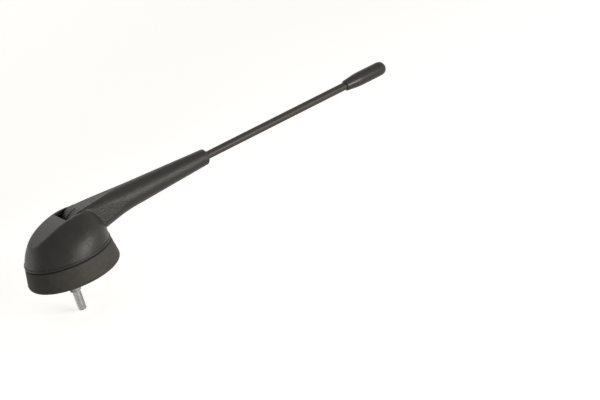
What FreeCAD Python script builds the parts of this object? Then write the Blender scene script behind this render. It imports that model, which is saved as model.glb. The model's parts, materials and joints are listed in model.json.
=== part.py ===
"""Short roof antenna: rubber foot, moulded cover, tilting arm with a whip mast, threaded stud.

Frame: the origin is on the stud's axis in the roof plane, which is the foot's lower face.
+Z is the roof's normal, +X points to the rear, where the lowered mast points.
Millimetres. The arm is modelled in its lowered position.
"""
import FreeCAD
import Part
import math
import os

V = FreeCAD.Vector
X_AXIS = V(1, 0, 0)
Y_AXIS = V(0, 1, 0)
Z_AXIS = V(0, 0, 1)

# Foot: an oval rubber pad that flares towards the roof.
base_length = 56.0
base_width = 50.0
base_shift = 3.3            # the oval's middle lies this far behind the stud
foot_height = 12.6
foot_flare = 2.1            # growth of the half axes from the upper rim to the roof
foot_edge_r = 2.4           # rounding of the rim on the roof
foot_top_r = 0.6
seal_lip_w = 1.6            # sealing groove in the lower face
seal_groove_d = 0.8

# Cover: a moulded shell above a dark joint line.
seam_gap = 0.8
cover_height = 20.8         # lower edge to crown
cover_wall = 2.3
lip_height = 1.1
lip_step = 0.35
lip_edge_r = 0.3
front_taper = 0.2           # the cover narrows towards its front
shoulder_r = 4.5            # soft edge between the top band and the flanks
slot_clear = 0.4            # each side of the arm
slot_front_clear = 1.0      # in front of the knuckle
sill_clear = 0.5            # below the lowered arm

# Plate under the cover, with the fork that carries the hinge.
plate_depth = 4.8
plate_gap = 0.15            # round the plate in the foot's recess
plate_inset = 2.9           # behind the cover's edge
lug_t = 2.0
lug_r = 4.8
lug_clear = 0.3             # to the cover's inside
lug_foot = 17.0
lug_lean = 3.0
lug_edge = 12.65            # lugs to the joint line's widest place

# Stud and its insulating collar.
stud_d = 5.0
stud_below = 22.3
shank_d = 5.4               # plain shank above the thread
shank_below = 10.4
stud_chamfer = 0.7
stud_head_af = 8.0
stud_head_h = 3.5
bush_d = 6.6
bush_below = 10.0
bush_chamfer = 0.4

# Cover screws.
screw_d = 3.0
screw_hole_gap = 0.2
screw_head_d = 5.5
screw_head_h = 2.2
screw_grip = 6.8            # thread in the boss
boss_d = 6.4
screw_edge = 1.25           # plate beside the rear screws' heads
screw_front_edge = 3.75     # plate in front of the front screw's head
screw_rear_x = 2.072        # behind the oval's middle
cross_l = 3.3               # cross recess in the head
cross_w = 0.8
cross_depth = 1.0

# Hinge.
pivot_rear = 12.1989        # hinge to the rear of the joint line
pivot_crown = 9.6928        # hinge below the cover's crown
knuckle_clear = 0.9         # knuckle to plate
knuckle_edge_r = 1.2
pin_d = 5.0
pin_fit = 0.05              # radial running fit of the arm's eye
pin_head_d = 6.2
pin_head_t = 1.0
lock_d = 6.6
lock_t = 0.6
lock_wall = 0.4             # pin beyond the lock ring
washer_d = 9.4
washer_t = 0.5

# Arm: a long taper, flat on both sides and on top at its root.
axis_rise = 2.704           # mast's axis above the pivot
arm_length = 85.8           # pivot to the arm's end
taper_from = 31.0           # behind the pivot, where the taper has the next radius
taper_r = 7.5
taper = 0.05
flare_from = 26.3           # behind the pivot: the underside deepens from here to the knuckle
flare = 0.152
flare_blend = 5.0
flare_run = 28.0
root_square = 0.6           # the root's section is squarer than a circle
top_slope = 0.8            # degrees, rise of the flat on top
arm_end_r = 2.1
arm_end_lap = 0.05

# Insert in the arm.
eye_d = 12.4
stem_d = 8.0
stem_length = 45.0          # from the pivot
socket_from = 23.0          # behind the pivot

# Mast and tip.
rod_d = 4.8
rod_core_d = 3.4
sheath_in_arm = 8.0
rod_length = 102.7          # between arm and tip
tip_length = 30.5
tip_d = 8.6
tip_collar_d = 6.6
tip_collar_l = 1.6
tip_shoulder = 2.6
tip_round = 3.0
tip_wall = 6.0

# Derived places.
reach = 5 * base_length
half_l = base_length / 2
half_w = base_width / 2
seam_l = half_l - foot_flare
seam_w = half_w - foot_flare
cover_z = foot_height + seam_gap
plate_top = cover_z
plate_low = plate_top - plate_depth
plate_l = seam_l - plate_inset
plate_w = seam_w - plate_inset
pivot_h = cover_height - pivot_crown
pivot_x = base_shift + seam_l - pivot_rear
pivot_z = cover_z + pivot_h
knuckle_r = pivot_h - knuckle_clear
arm_half_w = seam_w - lug_edge - lug_t - washer_t
axis_z = pivot_z + axis_rise
arm_end = pivot_x + arm_length
taper_x = pivot_x + taper_from
flare_x = pivot_x + flare_from
stem_end = pivot_x + stem_length
socket_start = pivot_x + socket_from
tip_start = arm_end + rod_length
tip_end = tip_start + tip_length
slot_half = arm_half_w + slot_clear
slot_front = pivot_x - knuckle_r - slot_front_clear
lug_in = arm_half_w + washer_t
lug_out = lug_in + lug_t
crown = cover_height
mid = math.sqrt(0.5)


def ring(points):
    """Closed smooth wire through points."""
    curve = Part.BSplineCurve()
    curve.interpolate(Points=points, PeriodicFlag=True)
    return Part.Wire([curve.toShape()])


def oval(cx, a, b, z, egg=0.0, n=28):
    """Oval of half axes a and b about (cx, 0) at height z, narrower in front when it is egg-shaped."""
    pts = []
    for i in range(n):
        f = 2 * math.pi * i / n
        pts.append(V(cx + a * math.cos(f), b * math.sin(f) * (1 + egg * math.cos(f)), z))
    return ring(pts)


def prism(cx, a, b, z0, z1):
    """Straight oval block."""
    return Part.Face(oval(cx, a, b, z0)).extrude(V(0, 0, z1 - z0))


def tube(r_out, r_in, start, direction, length):
    """Ring-shaped cylinder."""
    outer = Part.makeCylinder(r_out, length, start, direction)
    return outer.cut(Part.makeCylinder(r_in, length, start, direction)).Solids[0]


def side_plate(points, y0, y1):
    """Outline in X and Z, given thickness along Y."""
    wire = Part.makePolygon([V(x, y0, z) for x, z in points + points[:1]])
    return Part.Face(wire).extrude(V(0, y1 - y0, 0))


def cylinder_y(r, x, z, y0, y1):
    """Cylinder across the antenna."""
    return Part.makeCylinder(r, y1 - y0, V(x, y0, z), Y_AXIS)


def single(shape):
    """Largest solid of a shape, with merged faces."""
    best = sorted(shape.Solids, key=lambda s: s.Volume)[-1]
    clean = best.copy().removeSplitter()
    if clean.isValid() and len(clean.Solids) == 1 and abs(clean.Volume - best.Volume) < 0.5:
        return clean.Solids[0]
    return best


# Heights as shares of the cover's height, half axes as shares of the joint line's.
flank_rows = [
    (0.00, 1.000, 1.000, 1.000),
    (0.22, 0.948, 0.990, 0.975),
    (0.46, 0.848, 0.955, 0.905),
    (0.66, 0.728, 0.905, 0.790),
    (0.85, 0.555, 0.830, 0.620),
    (1.03, 0.360, 0.720, 0.420),
]

# Side view of the top band: shares of the half length and of the height.
crown_rows = [
    (-1.40, 0.16),
    (-1.02, 0.370),
    (-0.72, 0.605),
    (-0.36, 0.820),
    (0.00, 0.955),
    (0.30, 1.000),
    (0.60, 0.975),
    (0.86, 0.900),
    (1.30, 0.660),
]


def dome(inset, drop):
    """Cover's outer form, or its hollow when it is inset, cut off by the top band."""
    wires = []
    for share, front, rear, wide in flank_rows:
        a_front = seam_l * front - inset
        a_rear = seam_l * rear - inset
        cx = base_shift + (a_rear - a_front) / 2
        a_mid = (a_front + a_rear) / 2
        wires.append(oval(cx, a_mid, seam_w * wide - inset, cover_z + share * crown, front_taper * share))
    flank = Part.makeLoft(wires, True, False)
    pts = [V(base_shift + seam_l * x, -reach, cover_z + crown * z - drop) for x, z in crown_rows]
    curve = Part.BSplineCurve()
    curve.interpolate(pts)
    low = cover_z - foot_height
    edges = [curve.toShape()]
    edges.append(Part.makeLine(pts[-1], V(pts[-1].x, -reach, low)))
    edges.append(Part.makeLine(V(pts[-1].x, -reach, low), V(pts[0].x, -reach, low)))
    edges.append(Part.makeLine(V(pts[0].x, -reach, low), pts[0]))
    band = Part.Face(Part.Wire(edges)).extrude(V(0, 2 * reach, 0))
    return flank.common(band), curve


def shoulder_edges(shape, curve):
    """Edges of the top band."""
    found = []
    for edge in shape.Edges:
        on_band = True
        for k in range(1, 8):
            u = edge.FirstParameter + (edge.LastParameter - edge.FirstParameter) * k / 8
            p = edge.valueAt(u)
            q = V(p.x, -reach, p.z)
            near = curve.value(curve.parameter(q))
            if near.distanceToPoint(q) > 0.01:
                on_band = False
                break
        if on_band and edge.Length > 1:
            found.append(edge)
    return found


# Foot: flared pad with a recess for the plate, a hole for the collar and a sealing groove.
pad = Part.makeLoft(
    [oval(base_shift, half_l, half_w, 0), oval(base_shift, seam_l, seam_w, foot_height)], True, True)
low_edges = [e for e in pad.Edges if abs(e.BoundBox.ZMax) < 1e-6]
pad = pad.makeFillet(foot_edge_r, low_edges)
top_edges = [e for e in pad.Edges if abs(e.BoundBox.ZMin - foot_height) < 1e-4]
pad = pad.makeFillet(foot_top_r, top_edges)
recess = prism(base_shift, plate_l + plate_gap, plate_w + plate_gap, plate_low, foot_height + 1)
groove_l = half_l - foot_edge_r - 2 * seal_lip_w
groove_w = half_w - foot_edge_r - 2 * seal_lip_w
groove = prism(base_shift, groove_l, groove_w, -1, seal_groove_d)
groove = groove.cut(prism(base_shift, groove_l - seal_lip_w, groove_w - seal_lip_w, -1, seal_groove_d))
pad = pad.cut(recess).cut(groove)
foot_gasket = single(pad.cut(Part.makeCylinder(bush_d / 2, foot_height, V(0, 0, -1), Z_AXIS)))

# Cover: outer form with soft shoulders, lip, hollow, screw bosses and the arm's slot.
outer, top_curve = dome(lip_step, 0)
outer = outer.makeFillet(shoulder_r, shoulder_edges(outer, top_curve))
lip = prism(base_shift, seam_l, seam_w, cover_z, cover_z + lip_height)
lip_edges = [e for e in lip.Edges if abs(e.BoundBox.ZMin - cover_z - lip_height) < 1e-6]
lip = lip.makeFillet(lip_edge_r, lip_edges)
hollow, _ = dome(lip_step + cover_wall, cover_wall)
shell = outer.fuse(lip).cut(hollow)
screw_front_x = -(plate_l - screw_front_edge - screw_head_d / 2)
screw_rear_y = plate_w - screw_edge - screw_head_d / 2
screw_places = [
    ("cover_screw_front", base_shift + screw_front_x, 0.0),
    ("cover_screw_left", base_shift + screw_rear_x, -screw_rear_y),
    ("cover_screw_right", base_shift + screw_rear_x, screw_rear_y),
]
boss_top = cover_z + crown
for _, sx, sy in screw_places:
    boss = Part.makeCylinder(boss_d / 2, boss_top - cover_z, V(sx, sy, cover_z), Z_AXIS).common(outer)
    shell = shell.fuse(boss)
for _, sx, sy in screw_places:
    bore = Part.makeCylinder(screw_d / 2, screw_grip, V(sx, sy, cover_z), Z_AXIS)
    shell = shell.cut(bore)


def arm_radius(x):
    """Radius of the arm's taper."""
    return taper_r - taper * (x - taper_x)


def arm_drop(x):
    """How far the underside lies below the axis."""
    t = max(0.0, flare_x + flare_blend - x)
    soft = t * t / (4 * flare_blend) if t < 2 * flare_blend else t - flare_blend
    return arm_radius(x) + flare * soft


sill_x = base_shift + seam_l - lip_step - cover_wall
sill_z = axis_z - arm_drop(sill_x) - sill_clear
slot = side_plate(
    [(slot_front, sill_z), (slot_front, reach), (reach, reach), (reach, sill_z)], -slot_half, slot_half)
shell = shell.cut(slot)
base_cover = single(shell)

# Plate with the fork.
plate = prism(base_shift, plate_l, plate_w, plate_low, plate_top)
lug_outline = [
    (pivot_x - lug_foot / 2, plate_top),
    (pivot_x + lug_foot / 2 - lug_lean, plate_top),
    (pivot_x + lug_r, pivot_z),
    (pivot_x - lug_r, pivot_z),
]
room, _ = dome(lip_step + cover_wall + lug_clear, cover_wall + lug_clear)
for y0, y1 in ((-lug_out, -lug_in), (lug_in, lug_out)):
    lug = side_plate(lug_outline, y0, y1).fuse(cylinder_y(lug_r, pivot_x, pivot_z, y0, y1))
    plate = plate.fuse(lug.common(room))
plate = plate.cut(cylinder_y(pin_d / 2, pivot_x, pivot_z, -lug_out - 1, lug_out + 1))
stud_hole = Part.makeCylinder(shank_d / 2, 2 * plate_depth, V(0, 0, plate_low - plate_depth / 2), Z_AXIS)
plate = plate.cut(stud_hole)
for _, sx, sy in screw_places:
    hole_r = screw_d / 2 + screw_hole_gap
    sink_r = screw_head_d / 2 + screw_hole_gap
    plate = plate.cut(Part.makeCylinder(hole_r, plate_depth + 2, V(sx, sy, plate_low - 1), Z_AXIS))
    plate = plate.cut(Part.makeCylinder(sink_r, screw_head_h + 1, V(sx, sy, plate_low - 1), Z_AXIS))
base_plate = single(plate)

# Cover screws, heads down in the plate.
screws = {}
for name, sx, sy in screw_places:
    head = Part.makeCylinder(screw_head_d / 2, screw_head_h, V(sx, sy, plate_low), Z_AXIS)
    slot_z = plate_low - cross_depth
    slot_x = Part.makeBox(cross_l, cross_w, 2 * cross_depth, V(sx - cross_l / 2, sy - cross_w / 2, slot_z))
    slot_y = Part.makeBox(cross_w, cross_l, 2 * cross_depth, V(sx - cross_w / 2, sy - cross_l / 2, slot_z))
    shank_l = plate_depth + screw_grip
    shank = Part.makeCylinder(screw_d / 2, shank_l, V(sx, sy, plate_low), Z_AXIS)
    screws[name] = single(head.fuse(shank).cut(slot_x).cut(slot_y))

# Stud: hexagon bolt through the plate.
hexagon = []
corner_r = stud_head_af / math.sqrt(3)
for i in range(7):
    f = math.pi / 6 + math.pi / 3 * i
    hexagon.append(V(corner_r * math.cos(f), corner_r * math.sin(f), plate_top))
stud_head = Part.Face(Part.makePolygon(hexagon)).extrude(V(0, 0, stud_head_h))
stud = Part.makeCylinder(stud_d / 2, plate_top + stud_below, V(0, 0, -stud_below), Z_AXIS)
end_edges = [e for e in stud.Edges if abs(e.BoundBox.ZMax + stud_below) < 1e-6]
stud = stud.makeChamfer(stud_chamfer, end_edges)
shank = Part.makeCylinder(shank_d / 2, plate_top + shank_below, V(0, 0, -shank_below), Z_AXIS)
mounting_stud = single(stud_head.fuse(shank).fuse(stud))

# Insulating collar round the stud, from the plate through the foot and the roof.
bush = tube(bush_d / 2, shank_d / 2, V(0, 0, -bush_below), Z_AXIS, bush_below + plate_low)
low_edges = [e for e in bush.Edges if abs(e.BoundBox.ZMax + bush_below) < 1e-6]
rim = [e for e in low_edges if e.BoundBox.XLength > (bush_d + shank_d) / 2]
stud_bush = single(bush.makeChamfer(bush_chamfer, rim))

# Arm: flats on both sides and on top, drum-shaped knuckle, rounded end.
arm_start = pivot_x - knuckle_r
arm_wires = []
for k in range(15):
    x = arm_start + (arm_end - arm_start) * k / 14
    pts = []
    for i in range(24):
        f = 2 * math.pi * i / 24
        up = arm_radius(x) if math.sin(f) >= 0 else arm_drop(x)
        square = 2 / (2 + root_square * min(1.0, max(0.0, (flare_x + flare_blend - x) / flare_run)))
        c = math.copysign(abs(math.cos(f)) ** square, math.cos(f))
        d = math.copysign(abs(math.sin(f)) ** square, math.sin(f))
        pts.append(V(x, arm_radius(x) * c, axis_z + up * d))
    arm_wires.append(ring(pts))
arm = Part.makeLoft(arm_wires, True, False)
r_end = arm_radius(arm_end - arm_end_r) + arm_end_lap
round_edges = [
    Part.makeLine(V(-reach, 0, 0), V(-reach, 0, reach)),
    Part.makeLine(V(-reach, 0, reach), V(arm_end - arm_end_r, 0, reach)),
    Part.makeLine(V(arm_end - arm_end_r, 0, reach), V(arm_end - arm_end_r, 0, r_end)),
    Part.Arc(
        V(arm_end - arm_end_r, 0, r_end),
        V(arm_end - arm_end_r * (1 - mid), 0, r_end - arm_end_r * (1 - mid)),
        V(arm_end, 0, r_end - arm_end_r)).toShape(),
    Part.makeLine(V(arm_end, 0, r_end - arm_end_r), V(arm_end, 0, 0)),
    Part.makeLine(V(arm_end, 0, 0), V(-reach, 0, 0)),
]
envelope = Part.Face(Part.Wire(round_edges)).revolve(V(0, 0, 0), X_AXIS, 360)
envelope.translate(V(0, 0, axis_z))
arm = arm.common(envelope)
arm = arm.common(Part.makeBox(2 * reach, 2 * arm_half_w, 2 * reach, V(-reach, -arm_half_w, -reach)))
rad = math.radians(top_slope)
touch = V(pivot_x - knuckle_r * math.sin(rad), 0, pivot_z + knuckle_r * math.cos(rad))
above = Part.makeBox(2 * reach, 2 * reach, reach, V(-reach, -reach, 0))
above.rotate(V(0, 0, 0), Y_AXIS, -top_slope)
above.translate(touch)
front = Part.makeBox(reach, 2 * reach, 2 * reach, V(pivot_x - reach, -reach, -reach))
drum = cylinder_y(knuckle_r, pivot_x, pivot_z, -arm_half_w, arm_half_w)
drum = drum.makeFillet(knuckle_edge_r, [e for e in drum.Edges if e.BoundBox.YLength < 1e-6])
arm = arm.cut(above).cut(front).fuse(drum)

# Insert: eye across the knuckle and a stem along the arm.
eye = cylinder_y(eye_d / 2, pivot_x, pivot_z, -arm_half_w, arm_half_w)
stem = Part.makeCylinder(stem_d / 2, stem_end - pivot_x, V(pivot_x, 0, axis_z), X_AXIS)
core = single(eye.fuse(stem))
arm = arm.cut(core)
core = core.cut(cylinder_y(pin_d / 2 + pin_fit, pivot_x, pivot_z, -arm_half_w - 1, arm_half_w + 1))
socket = Part.makeCylinder(rod_core_d / 2, stem_end - socket_start, V(socket_start, 0, axis_z), X_AXIS)
arm_core = single(core.cut(socket))
arm = arm.cut(Part.makeCylinder(rod_core_d / 2, arm_end - stem_end + 1, V(stem_end, 0, axis_z), X_AXIS))
sheath_start = arm_end - sheath_in_arm
arm = arm.cut(Part.makeCylinder(rod_d / 2, sheath_in_arm + 1, V(sheath_start, 0, axis_z), X_AXIS))
tilt_arm = single(arm)

# Pin with its lock ring and the washers that hold the arm by friction.
pin_end = lug_out + lock_t + lock_wall
pin = cylinder_y(pin_d / 2, pivot_x, pivot_z, -lug_out, pin_end)
pin = pin.fuse(cylinder_y(pin_head_d / 2, pivot_x, pivot_z, -lug_out - pin_head_t, -lug_out))
pivot_pin = single(pin)
lock_ring = tube(lock_d / 2, pin_d / 2, V(pivot_x, lug_out, pivot_z), Y_AXIS, lock_t)
washer_left = tube(washer_d / 2, pin_d / 2, V(pivot_x, -lug_in, pivot_z), Y_AXIS, washer_t)
washer_right = tube(washer_d / 2, pin_d / 2, V(pivot_x, arm_half_w, pivot_z), Y_AXIS, washer_t)

# Mast: rod in a sheath, and the moulded tip.
rod_end = tip_end - tip_wall
mast_core = Part.makeCylinder(rod_core_d / 2, rod_end - socket_start, V(socket_start, 0, axis_z), X_AXIS)
mast_sheath = tube(rod_d / 2, rod_core_d / 2, V(sheath_start, 0, axis_z), X_AXIS, rod_end - sheath_start)
r_tip = tip_d / 2
r_collar = tip_collar_d / 2
x_sh = tip_start + tip_collar_l
r_flat = r_tip - tip_round
sh_x = x_sh + tip_shoulder
tip_edges = [
    Part.makeLine(V(tip_start, 0, 0), V(tip_start, 0, r_collar)),
    Part.makeLine(V(tip_start, 0, r_collar), V(x_sh, 0, r_collar)),
    Part.Arc(
        V(x_sh, 0, r_collar),
        V(sh_x - tip_shoulder * mid, 0, r_collar + (r_tip - r_collar) * mid),
        V(sh_x, 0, r_tip)).toShape(),
    Part.makeLine(V(sh_x, 0, r_tip), V(tip_end - tip_round, 0, r_tip)),
    Part.Arc(
        V(tip_end - tip_round, 0, r_tip),
        V(tip_end - tip_round + tip_round * mid, 0, r_flat + tip_round * mid),
        V(tip_end, 0, r_flat)).toShape(),
    Part.makeLine(V(tip_end, 0, r_flat), V(tip_end, 0, 0)),
    Part.makeLine(V(tip_end, 0, 0), V(tip_start, 0, 0)),
]
tip = Part.Face(Part.Wire(tip_edges)).revolve(V(0, 0, 0), X_AXIS, 360)
tip.translate(V(0, 0, axis_z))
bore = Part.makeCylinder(rod_d / 2, rod_end - tip_start + 1, V(tip_start - 1, 0, axis_z), X_AXIS)
mast_tip = single(tip.cut(bore))

nodes = {
    "foot_gasket": foot_gasket,
    "base_cover": base_cover,
    "base_plate": base_plate,
    "mounting_stud": mounting_stud,
    "stud_bush": stud_bush,
    "pivot_pin": pivot_pin,
    "pin_lock_ring": lock_ring,
    "friction_washer_left": washer_left,
    "friction_washer_right": washer_right,
    "tilt_arm": tilt_arm,
    "arm_core": arm_core,
    "mast_core": mast_core,
    "mast_sheath": mast_sheath,
    "mast_tip": mast_tip,
}
nodes.update(screws)
os.makedirs("parts", exist_ok=True)
for name, shape in nodes.items():
    box = shape.BoundBox
    print("%-22s %-6s valid %s  %7.1f mm3  x %.2f..%.2f  y %.2f..%.2f  z %.2f..%.2f" % (
        name, shape.ShapeType, shape.isValid(), shape.Volume,
        box.XMin, box.XMax, box.YMin, box.YMax, box.ZMin, box.ZMax))
    shape.exportStep("parts/" + name + ".step")
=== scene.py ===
# %% [markdown]
# # A short car roof antenna
# This lesson dresses the measured model of a roof antenna: a flared rubber foot, a moulded cover with a
# slot, a tilting arm that ends in a whip mast, and a threaded stud below. The solids come from a CAD program.
# They could be modelled again by hand, but that would lose their true sizes, so they are loaded as they are,
# in metres. Blender adds the finish and the details that are too fine for the solids.

# %% Load the measured model
import bpy
import json
import math
from mathutils import Matrix, Vector


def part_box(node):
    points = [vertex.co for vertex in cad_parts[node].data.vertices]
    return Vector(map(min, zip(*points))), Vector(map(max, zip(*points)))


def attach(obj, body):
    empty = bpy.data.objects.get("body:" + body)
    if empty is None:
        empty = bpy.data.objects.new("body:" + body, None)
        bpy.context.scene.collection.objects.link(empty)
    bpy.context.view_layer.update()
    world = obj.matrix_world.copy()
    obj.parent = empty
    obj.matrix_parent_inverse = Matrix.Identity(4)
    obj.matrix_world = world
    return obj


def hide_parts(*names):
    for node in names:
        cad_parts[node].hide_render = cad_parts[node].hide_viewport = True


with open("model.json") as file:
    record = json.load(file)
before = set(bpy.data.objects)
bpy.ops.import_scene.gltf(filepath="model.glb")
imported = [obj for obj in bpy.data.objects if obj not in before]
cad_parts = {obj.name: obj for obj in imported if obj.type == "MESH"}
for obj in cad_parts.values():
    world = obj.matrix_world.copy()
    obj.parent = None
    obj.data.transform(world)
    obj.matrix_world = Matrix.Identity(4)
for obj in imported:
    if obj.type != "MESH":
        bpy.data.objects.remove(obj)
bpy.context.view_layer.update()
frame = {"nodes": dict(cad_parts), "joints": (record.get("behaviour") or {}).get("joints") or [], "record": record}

MM_PER_M = 1000


def in_mm(lengths):
    """Lengths in millimetres, rounded for printing."""
    return [round(length * MM_PER_M, 2) for length in lengths]


print("nodes:", sorted(frame["nodes"]))

# %% [markdown]
# ## Patterns for the surfaces
# The real cover, arm and foot came out of moulds with a fine grain, and the mast and the metal parts were
# drawn, which leaves faint lines. Images could show both, but they need unwrapped pieces and go soft close
# up. Noise in object coordinates needs no unwrapping, has a true size and stays with its piece when the arm
# tilts. Two node groups hold the noise, so that all materials share it.

# %% Node group: moulded grain
def pattern_group(name, inputs, outputs):
    """A node group with its sockets: gives the tree, its two ends and the object coordinates."""
    tree = bpy.data.node_groups.new(name, "ShaderNodeTree")
    for socket, kind in inputs.items():
        tree.interface.new_socket(socket, in_out="INPUT", socket_type=kind)
    for socket in outputs:
        tree.interface.new_socket(socket, in_out="OUTPUT", socket_type="NodeSocketFloat")
    enter = tree.nodes.new("NodeGroupInput")
    leave = tree.nodes.new("NodeGroupOutput")
    place = tree.nodes.new("ShaderNodeTexCoord").outputs["Object"]
    return tree, enter, leave, place


def moulded_grain():
    """Fine grain as a height, and a soft cloud for the tone."""
    sizes = {"Grain size": "NodeSocketFloat", "Cloud size": "NodeSocketFloat"}
    tree, enter, leave, place = pattern_group("moulded_grain", sizes, ("Height", "Cloud"))
    fine = tree.nodes.new("ShaderNodeTexNoise")
    fine.inputs["Detail"].default_value = 3.0
    fine.inputs["Roughness"].default_value = 0.6
    cloud = tree.nodes.new("ShaderNodeTexNoise")
    cloud.inputs["Detail"].default_value = 4.0
    for noise, size, result in ((fine, "Grain size", "Height"), (cloud, "Cloud size", "Cloud")):
        tree.links.new(place, noise.inputs["Vector"])
        tree.links.new(enter.outputs[size], noise.inputs["Scale"])
        tree.links.new(noise.outputs["Fac"], leave.inputs[result])
    return tree


grain_group = moulded_grain()
print("group:", grain_group.name, "with", len(grain_group.nodes), "nodes")

# %% Node group: drawn streaks
def drawn_streak():
    """Fine lines along one axis, as on drawn rod and plated wire."""
    stretch = {"Stretch": "NodeSocketVector"}
    tree, enter, leave, place = pattern_group("drawn_streak", stretch, ("Height",))
    scale = tree.nodes.new("ShaderNodeVectorMath")
    scale.operation = "MULTIPLY"
    noise = tree.nodes.new("ShaderNodeTexNoise")
    noise.inputs["Scale"].default_value = 1.0
    noise.inputs["Detail"].default_value = 4.0
    tree.links.new(place, scale.inputs[0])
    tree.links.new(enter.outputs["Stretch"], scale.inputs[1])
    tree.links.new(scale.outputs["Vector"], noise.inputs["Vector"])
    tree.links.new(noise.outputs["Fac"], leave.inputs["Height"])
    return tree


streak_group = drawn_streak()
print("group:", streak_group.name, "with", len(streak_group.nodes), "nodes")

# %% [markdown]
# ## Materials
# Each finish is a Principled shader. Its pattern mixes two close tones, varies the roughness a little and
# raises a bump of 0.3 mm at most. Every material could be set up by hand in the shader editor, but they
# differ only in their numbers, so the same functions build them all. On black plastic most of what is seen
# is reflection, so roughness and specular level matter more there than the colour.

# %% Material builders
def ramp(tree, source, low, high):
    """Map a texture's middle range to two values."""
    node = tree.nodes.new("ShaderNodeMapRange")
    node.inputs["From Min"].default_value = 0.3
    node.inputs["From Max"].default_value = 0.7
    node.inputs["To Min"].default_value = low
    node.inputs["To Max"].default_value = high
    tree.links.new(source, node.inputs["Value"])
    return node.outputs["Result"]


def tones(tree, source, dark, light):
    """Mix two colours by a texture."""
    node = tree.nodes.new("ShaderNodeMix")
    node.data_type = "RGBA"
    share, first, second, mixed = node.inputs[0], node.inputs[6], node.inputs[7], node.outputs[2]
    first.default_value = (*dark, 1.0)
    second.default_value = (*light, 1.0)
    tree.links.new(ramp(tree, source, 0.0, 1.0), share)
    return mixed


def finish(name, pattern, settings, tone, dark, light, rough, depth, specular, metallic):
    """A material whose tone, roughness and bump follow a pattern."""
    mat = bpy.data.materials.new(name)
    mat.use_nodes = True
    tree = mat.node_tree
    shader = tree.nodes["Principled BSDF"]
    shader.inputs["Specular IOR Level"].default_value = specular
    shader.inputs["Metallic"].default_value = metallic
    group = tree.nodes.new("ShaderNodeGroup")
    group.node_tree = pattern
    for socket, value in settings.items():
        group.inputs[socket].default_value = value
    height = group.outputs["Height"]
    tree.links.new(tones(tree, group.outputs[tone], dark, light), shader.inputs["Base Color"])
    tree.links.new(ramp(tree, height, *rough), shader.inputs["Roughness"])
    bump = tree.nodes.new("ShaderNodeBump")
    bump.inputs["Strength"].default_value = 1.0
    bump.inputs["Distance"].default_value = depth
    tree.links.new(height, bump.inputs["Height"])
    tree.links.new(bump.outputs["Normal"], shader.inputs["Normal"])
    return mat


soft_specular = 0.2
print("builders ready, specular level", soft_specular)

# %% Moulded materials
def moulded(name, dark, light, rough, grain, cloud, depth, specular=soft_specular, metallic=0.0):
    """Plastic, rubber or cast metal with the grain of its mould."""
    sizes = {"Grain size": grain, "Cloud size": cloud}
    return finish(name, grain_group, sizes, "Cloud", dark, light, rough, depth, specular, metallic)


moulded_looks = {
    "cover_plastic": dict(dark=(0.016, 0.016, 0.014), light=(0.021, 0.021, 0.019), rough=(0.28, 0.41),
                          grain=1500, cloud=120, depth=0.00020),
    "arm_plastic": dict(dark=(0.017, 0.017, 0.015), light=(0.023, 0.022, 0.020), rough=(0.28, 0.45),
                        grain=1200, cloud=110, depth=0.00030),
    "foot_rubber": dict(dark=(0.027, 0.025, 0.022), light=(0.038, 0.035, 0.031), rough=(0.60, 0.76),
                        grain=1700, cloud=260, depth=0.00008),
    "tip_plastic": dict(dark=(0.021, 0.020, 0.018), light=(0.025, 0.024, 0.022), rough=(0.27, 0.31),
                        grain=700, cloud=90, depth=0.000004),
    "bush_plastic": dict(dark=(0.20, 0.20, 0.20), light=(0.27, 0.27, 0.27), rough=(0.36, 0.48),
                         grain=1500, cloud=300, depth=0.00002),
    "die_cast_metal": dict(dark=(0.36, 0.36, 0.37), light=(0.47, 0.47, 0.48), rough=(0.45, 0.62),
                           grain=1400, cloud=200, depth=0.00003, metallic=1.0),
}
by_slot = {slot: moulded(slot, **look) for slot, look in moulded_looks.items()}
print("moulded:", sorted(by_slot))

# %% Drawn materials
def drawn(name, dark, light, rough, stretch, depth, metallic):
    """Metal, or a plastic rod, with fine lines."""
    lines = {"Stretch": stretch}
    return finish(name, streak_group, lines, "Height", dark, light, rough, depth, soft_specular, metallic)


drawn_looks = {
    "sheath_plastic": dict(dark=(0.025, 0.023, 0.021), light=(0.033, 0.031, 0.028), rough=(0.42, 0.48),
                           stretch=(60, 900, 900), depth=0.000003, metallic=0.0),
    "rod_core": dict(dark=(0.48, 0.45, 0.35), light=(0.62, 0.58, 0.47), rough=(0.40, 0.55),
                     stretch=(60, 1800, 1800), depth=0.00001, metallic=0.0),
    "zinc_steel": dict(dark=(0.42, 0.42, 0.41), light=(0.56, 0.56, 0.55), rough=(0.20, 0.32),
                       stretch=(900, 900, 260), depth=0.00001, metallic=1.0),
    "core_brass": dict(dark=(0.66, 0.50, 0.24), light=(0.80, 0.64, 0.36), rough=(0.28, 0.42),
                       stretch=(220, 1400, 1400), depth=0.00001, metallic=1.0),
}
by_slot.update({slot: drawn(slot, **look) for slot, look in drawn_looks.items()})
print("drawn:", sorted(drawn_looks))

# %% [markdown]
# ## The loaded pieces
# On the real antenna every piece is of one material, and the model names it as the piece's slot. The pieces
# could be dressed one by one, but a loop over the slots forgets none of them. Their shape stays as it is.

# %% Dress the loaded pieces
slot_of = {part["node"]: part["material_slot"] for part in frame["record"]["subparts"]}
for name, piece in sorted(frame["nodes"].items()):
    for place in piece.material_slots:
        place.material = by_slot[slot_of[name]]
    print(name, "->", by_slot[slot_of[name]].name)

# %% [markdown]
# ## The stud's thread
# The stud is a zinc-plated M5 bolt that clamps the antenna to the roof. The model's bolt is plain. A thread
# could be a bump in its material, but its edge is seen against the white floor, so a threaded stud takes the
# bolt's place. A four-cornered ridge is wound up with a Screw modifier, joined to a core and cut to the
# stud's chamfered outline. It is drawn in millimetres and made small at the end, because booleans are unsure
# of faces as small as these in metres.

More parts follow.
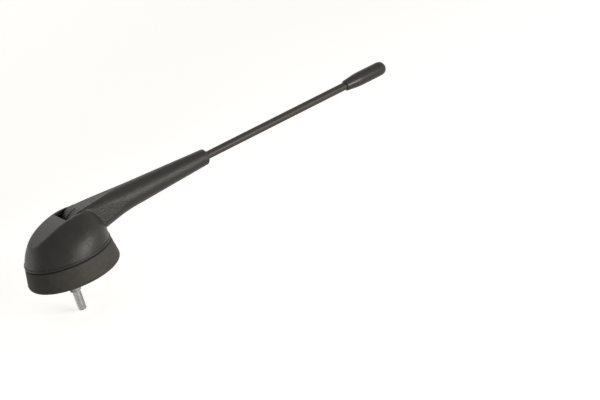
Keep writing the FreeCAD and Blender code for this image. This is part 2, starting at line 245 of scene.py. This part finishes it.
# %% Helpers for rods
def named(name):
    """Name the object that the last operator made."""
    piece = bpy.context.object
    piece.name = name
    piece.data.name = name
    return piece


def rod(name, radius, z0, z1, sides=64):
    """A cylinder on the stud's axis."""
    middle = (0, 0, (z0 + z1) / 2)
    bpy.ops.object.select_all(action="DESELECT")
    bpy.ops.mesh.primitive_cylinder_add(vertices=sides, radius=radius, depth=z1 - z0, location=middle)
    bpy.ops.object.transform_apply(location=True, rotation=True, scale=True)
    return named(name)


def bevel_end(piece, z, width, steps):
    """Bevel the edges of a piece that lie at one height."""
    same_height = 1e-4
    bpy.context.view_layer.objects.active = piece
    bpy.ops.object.mode_set(mode="EDIT")
    bpy.ops.mesh.select_mode(type="EDGE")
    bpy.ops.mesh.select_all(action="DESELECT")
    bpy.ops.object.mode_set(mode="OBJECT")
    for edge in piece.data.edges:
        edge.select = all(abs(piece.data.vertices[i].co.z - z) < same_height for i in edge.vertices)
    bpy.ops.object.mode_set(mode="EDIT")
    bpy.ops.mesh.bevel(offset=width, offset_type="OFFSET", segments=steps)
    bpy.ops.object.mode_set(mode="OBJECT")


# %% Core and shank
stud_low, stud_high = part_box("mounting_stud")
tip_z = stud_low[2] * MM_PER_M
top_z = stud_high[2] * MM_PER_M
shank_z = -10.4
head_z = 13.4
thread_r = 2.5
root_r = 2.07
shank_r = 2.7
shank_bevel = 0.2
core_lap = 0.6
head_lap = 0.5

stud = rod("threaded_stud", root_r, tip_z, shank_z + core_lap)
shank = rod("shank", shank_r, shank_z, head_z + head_lap)
bevel_end(shank, shank_z, shank_bevel, 2)
print("core and shank:", len(stud.data.vertices), len(shank.data.vertices), "points")

# %% Helpers for turned pieces
def outline_piece(name, points):
    """A closed line through some points, made from a circle with as many corners."""
    bpy.ops.object.select_all(action="DESELECT")
    bpy.ops.mesh.primitive_circle_add(vertices=len(points), radius=1.0)
    piece = named(name)
    for corner, point in zip(piece.data.vertices, points):
        corner.co = point
    return piece


def turn_outline(piece, axis, angle, steps, merge=False, rise=0.0, turns=1):
    """Turn an outline about an axis through the piece's origin, and fill its ends."""
    mod = piece.modifiers.new("turn", "SCREW")
    mod.axis = axis
    mod.angle = angle
    mod.screw_offset = rise
    mod.iterations = turns
    mod.steps = steps
    mod.render_steps = steps
    mod.use_merge_vertices = merge
    mod.merge_threshold = 0.001
    bpy.context.view_layer.objects.active = piece
    bpy.ops.object.modifier_apply(modifier=mod.name)
    bpy.ops.object.mode_set(mode="EDIT")
    bpy.ops.mesh.select_all(action="SELECT")
    bpy.ops.mesh.fill_holes(sides=4)
    bpy.ops.mesh.normals_make_consistent(inside=False)
    bpy.ops.object.mode_set(mode="OBJECT")


# %% Ridge of the thread
full_turn = 2 * math.pi
pitch = 0.8
thread_turns = 17
ridge_r = root_r - 0.08
ridge_foot = 0.39
ridge_crest = 0.06
ridge_z = tip_z - pitch

ridge_corners = [
    (ridge_r, -ridge_foot), (thread_r, -ridge_crest), (thread_r, ridge_crest), (ridge_r, ridge_foot),
]
ridge = outline_piece("ridge", [(r, 0.0, z + ridge_z) for r, z in ridge_corners])
turn_outline(ridge, "Z", full_turn, 40, rise=pitch, turns=thread_turns)
print("ridge:", len(ridge.data.vertices), "points")

# %% Join and cut to the outline
def combine(piece, other, operation):
    """Boolean of two pieces; the second one goes."""
    mod = piece.modifiers.new("bool", "BOOLEAN")
    mod.operation = operation
    mod.solver = "EXACT"
    mod.object = other
    bpy.context.view_layer.objects.active = piece
    bpy.ops.object.modifier_apply(modifier=mod.name)
    bpy.data.objects.remove(other)


outline_r = thread_r + 0.01
outline_lap = 0.4
tip_chamfer = 0.7
head_across = 8.0
head_bevel = 0.4

combine(stud, ridge, "UNION")
outline = rod("outline", outline_r, tip_z, shank_z + outline_lap)
bevel_end(outline, tip_z, tip_chamfer, 1)
combine(stud, outline, "INTERSECT")
combine(stud, shank, "UNION")
head = rod("head", head_across / math.sqrt(3), head_z, top_z, sides=6)
bevel_end(head, top_z, head_bevel, 2)
combine(stud, head, "UNION")
print("joined stud:", len(stud.data.polygons), "faces")

# %% Finish the stud
def settle(piece, place, mat, angle):
    """Bring a piece from millimetres to its place in metres, and dress it."""
    bpy.ops.object.select_all(action="DESELECT")
    piece.select_set(True)
    bpy.context.view_layer.objects.active = piece
    piece.scale = (1 / MM_PER_M, 1 / MM_PER_M, 1 / MM_PER_M)
    piece.location = place
    bpy.ops.object.transform_apply(location=True, rotation=True, scale=True)
    bpy.ops.object.shade_smooth_by_angle(angle=math.radians(angle))
    piece.data.materials.clear()
    piece.data.materials.append(mat)
    print(piece.name, len(piece.data.polygons), "faces, size in mm", in_mm(piece.dimensions))


settle(stud, (0.0, 0.0, 0.0), by_slot["zinc_steel"], 35)
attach(stud, "base")
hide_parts("mounting_stud")

# %% [markdown]
# ## Painted shade in the joint
# Between cover and foot runs a narrow joint. A near-black ring at its bottom is painted shade, not a part of the
# antenna. Shadow alone could darken the joint, but soft light from all sides reaches into so low a joint. So an
# open cylinder is stretched to the cover's oval and given a wall, which is simpler than cutting a ring out of a
# solid.

# %% Painted shade ring
shade_ring_inset = 0.0003
shade_ring_wall = 0.0004
cover_low, cover_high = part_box("base_cover")
foot_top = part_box("foot_gasket")[1][2]
half_x = (cover_high[0] - cover_low[0]) / 2 - shade_ring_inset
half_y = (cover_high[1] - cover_low[1]) / 2 - shade_ring_inset
height = cover_low[2] - foot_top

# A thin open ring in the joint between cover and foot, made only to carry painted shade
bpy.ops.object.select_all(action="DESELECT")
bpy.ops.mesh.primitive_cylinder_add(vertices=160, radius=1.0, depth=1.0, end_fill_type="NOTHING")
shade_ring = named("joint_shade_ring")
shade_ring.scale = (half_x, half_y, height)
shade_ring.location = ((cover_low[0] + cover_high[0]) / 2, 0.0, foot_top + height / 2)
bpy.ops.object.transform_apply(location=True, rotation=True, scale=True)
wall = shade_ring.modifiers.new("wall", "SOLIDIFY")
wall.thickness = shade_ring_wall
wall.offset = -1.0
bpy.ops.object.modifier_apply(modifier=wall.name)
bpy.ops.object.shade_smooth_by_angle(angle=math.radians(40))
print("seal:", in_mm(shade_ring.dimensions))

# %% Finish the painted shade ring
# Near-black material of the ring: painted shade at the bottom of the joint, not a seal of the antenna
shade_ring_mat = moulded("painted_joint_shade", dark=(0.003, 0.003, 0.003), light=(0.005, 0.005, 0.005), rough=(0.80, 0.90),
                   grain=1700, cloud=260, depth=0.00004, specular=0.15)
shade_ring.data.materials.append(shade_ring_mat)
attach(shade_ring, "base")
print("seal dressed in", shade_ring_mat.name)

# %% [markdown]
# ## Tip and rib
# The mast ends in a smooth moulded cap with a tapered skirt, which keeps the rod's end from harm. It could be
# a scaled and bevelled cylinder, but its taper and its rounded end are easier to set as a line of points that
# a Screw modifier turns about the mast. A narrow moulding rib over the middle of the arm's knuckle is made in
# the same way, about the hinge's axis.

# %% Tip
def open_line(piece):
    """Take away the edge that closes an outline."""
    ends = {0, len(piece.data.vertices) - 1}
    for edge in piece.data.edges:
        edge.select = set(edge.vertices) == ends
    for corner in piece.data.vertices:
        corner.select = corner.index in ends
    bpy.ops.object.mode_set(mode="EDIT")
    bpy.ops.mesh.select_mode(type="EDGE")
    bpy.ops.mesh.delete(type="EDGE")
    bpy.ops.object.mode_set(mode="OBJECT")


tip_low, tip_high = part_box("mast_tip")
mast_z = (tip_low[2] + tip_high[2]) / 2
along_and_radius = [
    (0.0, 0.0), (0.0, 2.9), (0.15, 3.15), (0.5, 3.3), (1.2, 3.4), (4.0, 3.72), (7.0, 4.08), (8.6, 4.24),
    (10.2, 4.32), (12.0, 4.35), (19.0, 4.35), (26.0, 4.33), (27.2, 4.22), (28.3, 3.93), (29.2, 3.4),
    (29.9, 2.6), (30.3, 1.7), (30.45, 0.85), (30.5, 0.0),
]
tip = outline_piece("smooth_tip", [(x, 0.0, r) for x, r in along_and_radius])
open_line(tip)
turn_outline(tip, "X", full_turn, 72, merge=True)
settle(tip, (tip_low[0], 0.0, mast_z), by_slot["tip_plastic"], 40)
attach(tip, "arm")
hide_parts("mast_tip")

# %% Rib on the knuckle
hinge = frame["joints"][0]["pos_m"]
rib_arc = math.radians(95)
rib_foot_r, rib_crest_r = 9.9, 10.5
rib_foot, rib_crest = 0.32, 0.22

rib_corners = [
    (rib_foot_r, -rib_foot), (rib_crest_r, -rib_crest), (rib_crest_r, rib_crest), (rib_foot_r, rib_foot),
]
rib_points = [(r * math.cos(rib_arc), y, r * math.sin(rib_arc)) for r, y in rib_corners]
rib = outline_piece("knuckle_rib", rib_points)
turn_outline(rib, "Y", -rib_arc, 48)
settle(rib, hinge, by_slot["arm_plastic"], 30)
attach(rib, "arm")

# %% [markdown]
# ## Camera
# The photograph was taken from the antenna's left, about a metre away and 22 degrees up, and it is turned, so
# that the mast climbs to the right. The camera could be moved by eye until the picture agrees. Its place,
# angles and lens were instead worked out from points of the solids that are seen in the photograph, which
# is more exact.

# %% Camera
azimuth, elevation, roll = (math.radians(angle) for angle in (-27.483, 22.229, 16.95))
eye = Vector((-0.28263, -0.83779, 0.35991))
flat = math.cos(elevation)
back = Vector((math.sin(azimuth) * flat, -math.cos(azimuth) * flat, math.sin(elevation)))
level = Vector((math.cos(azimuth), math.sin(azimuth), 0.0))
upright = back.cross(level)
across = level * math.cos(roll) - upright * math.sin(roll)
above = level * math.sin(roll) + upright * math.cos(roll)

bpy.ops.object.camera_add()
camera = bpy.context.object
camera.matrix_world = Matrix.Translation(eye) @ Matrix((across, above, back)).transposed().to_4x4()
camera.data.sensor_width = 36.0
camera.data.lens = 100.803
camera.data.clip_start = 0.01
camera.data.clip_end = 50.0
bpy.context.scene.camera = camera
print("camera at", [round(v, 3) for v in eye])

# %% [markdown]
# ## Floor and light
# The photograph's background is white. A floor could be lit until it is white, but that light would also
# fall on the dark plastic. So the pale floor glows for the rays that show the background: those from the
# camera, off a surface and through glass. The glow is added to the light that falls on the floor, so a faint
# shadow stays. The world is plain white for the same rays. Five soft panels, two behind and one each in front,
# at the right and at the left, draw the bands of light on the plastic. An environment image could do that
# too, but panels can be moved one by one.

# %% Floor
def background_rays(tree):
    """1 for rays that show the background: from the camera, off a surface and through glass."""
    path = tree.nodes.new("ShaderNodeLightPath")
    seen = path.outputs["Is Camera Ray"]
    for ray in ("Is Glossy Ray", "Is Transmission Ray"):
        either = tree.nodes.new("ShaderNodeMath")
        either.operation = "MAXIMUM"
        tree.links.new(seen, either.inputs[0])
        tree.links.new(path.outputs[ray], either.inputs[1])
        seen = either.outputs[0]
    return seen


floor_z = stud_low[2] - 0.001
bpy.ops.object.select_all(action="DESELECT")
bpy.ops.mesh.primitive_plane_add(size=6.0, location=(0, 0, floor_z))
floor = named("floor")
print("floor at", round(floor_z, 4))

# %% Floor's material
floor_glow = 0.66
floor_mat = bpy.data.materials.new("pale_floor")
floor_mat.use_nodes = True
floor_tree = floor_mat.node_tree
floor_shader = floor_tree.nodes["Principled BSDF"]
floor_shader.inputs["Base Color"].default_value = (0.88, 0.87, 0.85, 1.0)
floor_shader.inputs["Roughness"].default_value = 0.9
strength = floor_tree.nodes.new("ShaderNodeMath")
strength.operation = "MULTIPLY"
strength.inputs[1].default_value = floor_glow
glow = floor_tree.nodes.new("ShaderNodeEmission")
lifted = floor_tree.nodes.new("ShaderNodeAddShader")
floor_tree.links.new(background_rays(floor_tree), strength.inputs[0])
floor_tree.links.new(strength.outputs[0], glow.inputs["Strength"])
floor_tree.links.new(floor_shader.outputs[0], lifted.inputs[0])
floor_tree.links.new(glow.outputs[0], lifted.inputs[1])
floor_tree.links.new(lifted.outputs[0], floor_tree.nodes["Material Output"].inputs["Surface"])
floor.data.materials.append(floor_mat)
print("floor's glow", floor_glow)

# %% World
world = bpy.data.worlds.new("studio")
bpy.context.scene.world = world
world.use_nodes = True
world_tree = world.node_tree
sky = world_tree.nodes["Background"]
sky.inputs["Color"].default_value = (1.0, 0.98, 0.95, 1.0)
sky.inputs["Strength"].default_value = 0.17
white = world_tree.nodes.new("ShaderNodeBackground")
white.inputs["Color"].default_value = (1.0, 1.0, 1.0, 1.0)
choice = world_tree.nodes.new("ShaderNodeMixShader")
world_tree.links.new(background_rays(world_tree), choice.inputs[0])
world_tree.links.new(sky.outputs[0], choice.inputs[1])
world_tree.links.new(white.outputs[0], choice.inputs[2])
world_tree.links.new(choice.outputs[0], world_tree.nodes["World Output"].inputs["Surface"])
print("world strength", round(sky.inputs["Strength"].default_value, 3))

# %% Panels
def panel(name, place, width, height, radiance, tint):
    """A soft rectangular light that faces the antenna."""
    centre = Vector((0.06, 0.0, 0.02))
    lamp = bpy.data.lights.new(name, "AREA")
    lamp.shape = "RECTANGLE"
    lamp.size = width
    lamp.size_y = height
    lamp.energy = radiance * math.pi * width * height
    lamp.color = tint
    holder = bpy.data.objects.new(name, lamp)
    bpy.context.scene.collection.objects.link(holder)
    holder.location = place
    holder.rotation_euler = (centre - Vector(place)).to_track_quat("-Z", "Y").to_euler()
    holder.visible_camera = False
    print(name, round(lamp.energy, 2), "W")


panel("back_panel", (0.40, 1.15, 0.55), 1.1, 0.5, radiance=0.8, tint=(1.0, 0.87, 0.75))
panel("rear_panel", (-0.50, 0.95, 0.42), 0.6, 0.5, radiance=0.6, tint=(1.0, 0.91, 0.82))
panel("front_panel", (0.27, -0.62, 0.085), 0.36, 0.20, radiance=25.0, tint=(1.0, 0.97, 0.92))
panel("right_panel", (0.80, -0.30, 0.10), 0.3, 0.4, radiance=1.2, tint=(1.0, 0.96, 0.90))
panel("left_panel", (-0.72, 0.55, 0.13), 0.5, 0.30, radiance=3.0, tint=(1.0, 0.96, 0.90))

# %% View settings
view = bpy.context.scene.view_settings
view.view_transform = "Standard"
print("view transform:", view.view_transform)
